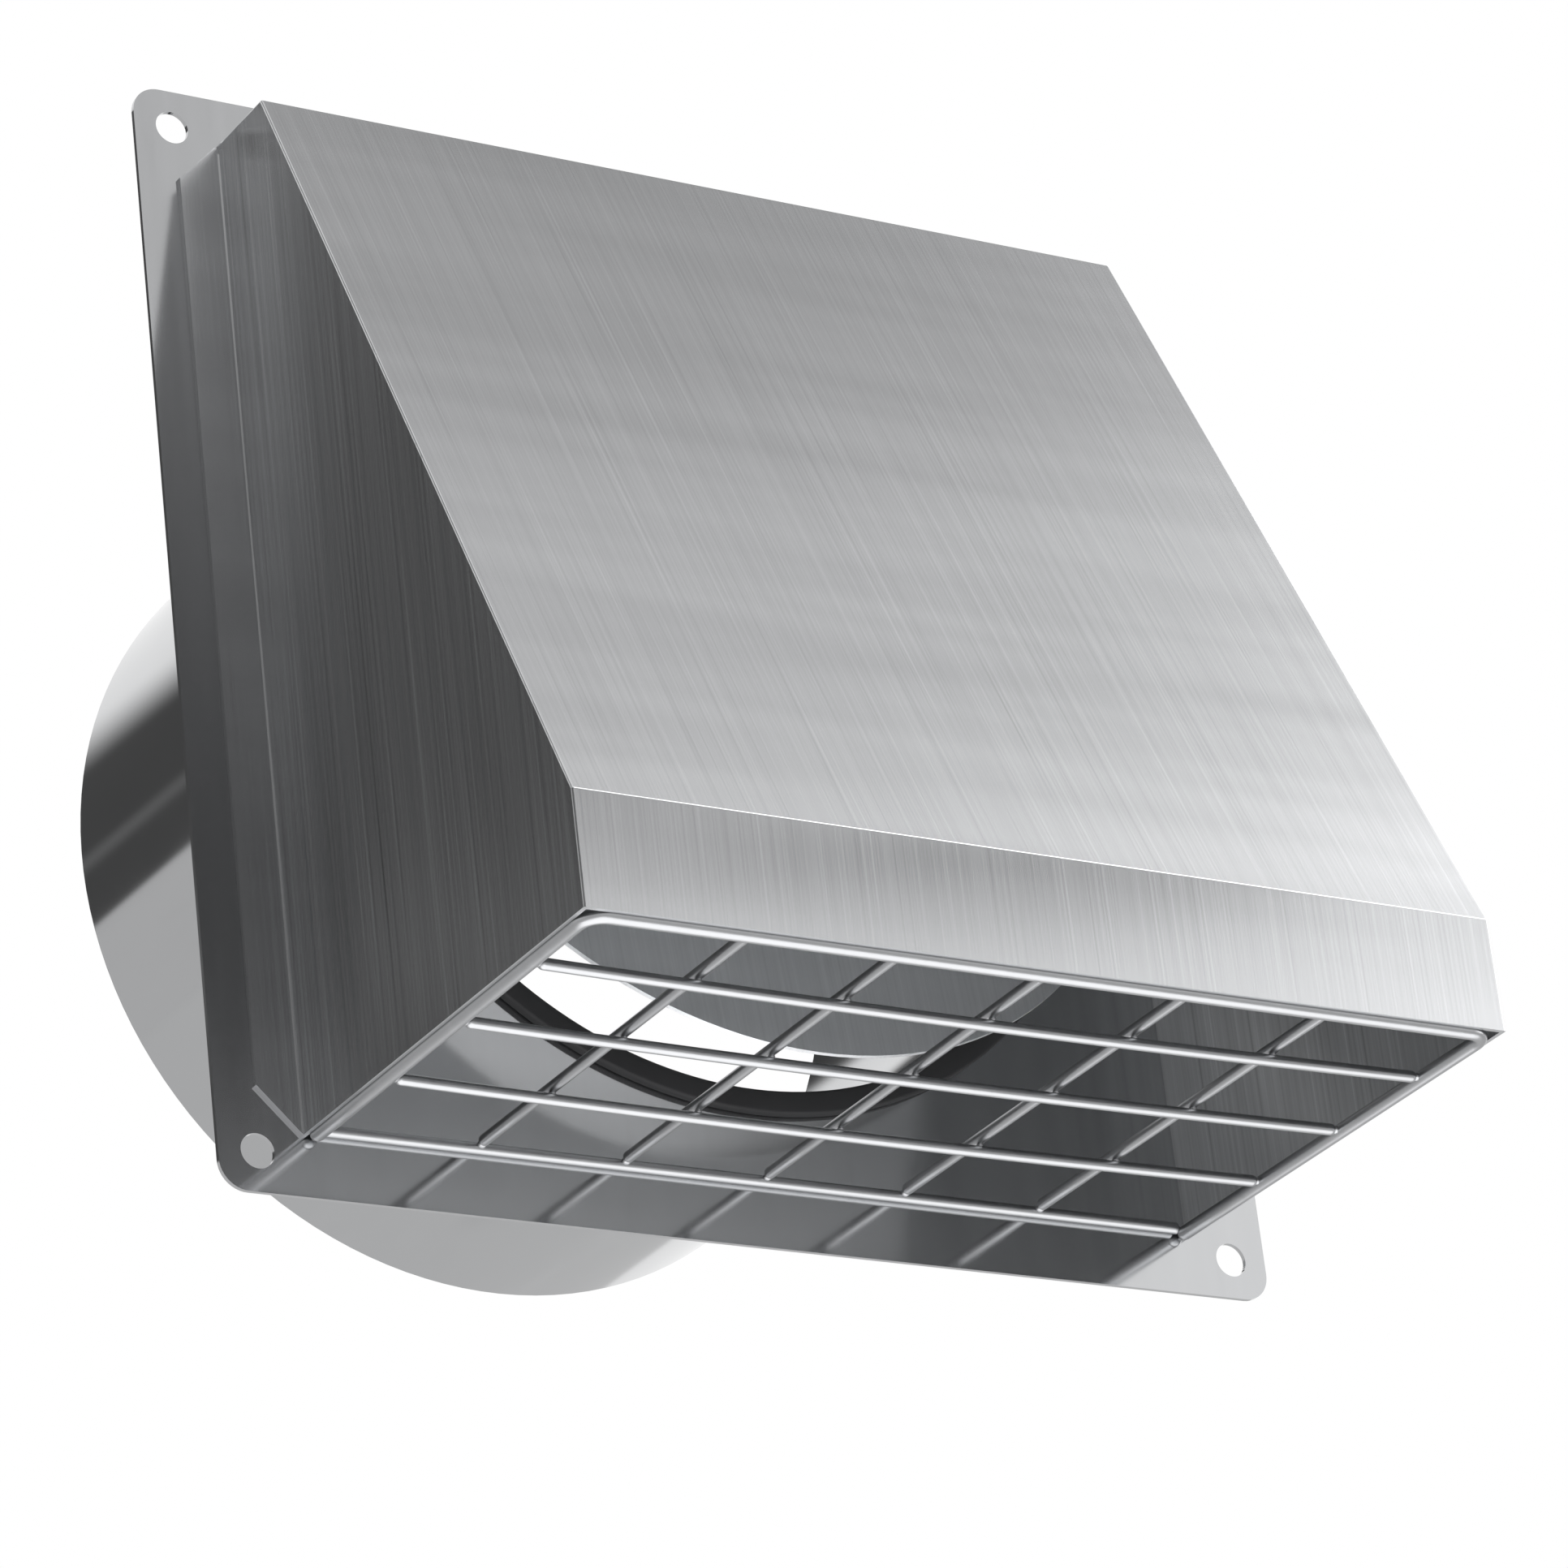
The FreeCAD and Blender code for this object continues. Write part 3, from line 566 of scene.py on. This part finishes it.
card("side_card", (-0.45, 0.78, 0.415), 1.6, 3.2, 0.80, 0.08, (0.3, 0.3, 0.03, 0.20))
card("side_glow", (-0.50, 0.78, 0.345), 1.5, 3.0, 0.10, 0.16, (0.3, 0.3, 0.05, 0.05))
card("corner_card", (-0.491, -0.698, 0.521), 1.307, 2.5, 1.02, 0.06, (0.25, 0.25, 0.25, 0.80))
card("seam_card", (-0.51, -0.16, 0.84), 1.4, 1.1, 1.0, 0.28, (0.3, 0.3, 0.3, 0.3))
card("front_card", (0.44, -1.0, 0.85), 1.37, 0.56, 0.5, 0.66, (0.12, 0.12, 0.12, 0.12))
card("lip_card", (0.219, -0.524, 0.228), 0.612, 0.45, 0.186, 0.31, (0.06, 0.09, 0.03, 0.05),
     (0, 0.454, 0.889))
card("lip_band_card", (0.062, -0.180, -0.0262), 0.190, 0.18, 0.012, 0.14, (0.10, 0.045, 0.006, 0.003))
card("level_card", (-0.65, 0.76, 0.03), 1.7, 1.1, 0.66, 0.62, (0.2, 0.2, 0.04, 0.04))
card("duct_card", (0.105, 0.168, 0.054), 0.205, 0.05, 0.06, 0.06, (0.004, 0.01, 0.01, 0.01))
card("duct_edge_card", (0.040, 0.201, 0.068), 0.216, 0.045, 0.06, 0.06, (0.01, 0.004, 0.01, 0.01))
card("overhead_card", (0.563, -0.007, 1.197), 1.323, 0.85, 1.07, 0.33, (0.3, 0.3, 0.3, 0.51),
     (0.147, -0.982, 0.12))

floor_half = 60
floor_level = -2
floor_mesh = bpy.data.meshes.new("floor")
floor_mesh.from_pydata(
    [(x * floor_half, y * floor_half, floor_level) for x, y in ((-1, -1), (1, -1), (1, 1), (-1, 1))],
    [], [(0, 1, 2, 3)],
)
floor = bpy.data.objects.new("floor", floor_mesh)
scene.collection.objects.link(floor)
floor_paint, floor_tree = start_material("floor")
floor_skin = lay(floor_tree, "ShaderNodeBsdfPrincipled",
                 {"Base Color": (0.8, 0.8, 0.8, 1), "Roughness": 0.9, "Specular IOR Level": 0.0})
lay(floor_tree, "ShaderNodeOutputMaterial", {"Surface": floor_skin.outputs[0]})
floor_mesh.materials.append(floor_paint)

# The room is a little darker as a light than it looks to the camera and in reflections
room_light = 0.8
room_look = 1.0
room = bpy.data.worlds.new("room")
room.use_nodes = True
room_tree = room.node_tree
room_tree.nodes.clear()
path = lay(room_tree, "ShaderNodeLightPath").outputs
mirrored = maths(room_tree, "MAXIMUM", path["Is Camera Ray"], path["Is Glossy Ray"])
shown = maths(room_tree, "MAXIMUM", mirrored, path["Is Transmission Ray"])
white = lay(room_tree, "ShaderNodeBackground",
            {"Color": (1, 1, 1, 1), "Strength": ranged(room_tree, shown, room_light, room_look)})
lay(room_tree, "ShaderNodeOutputWorld", {"Surface": white.outputs[0]})
scene.world = room
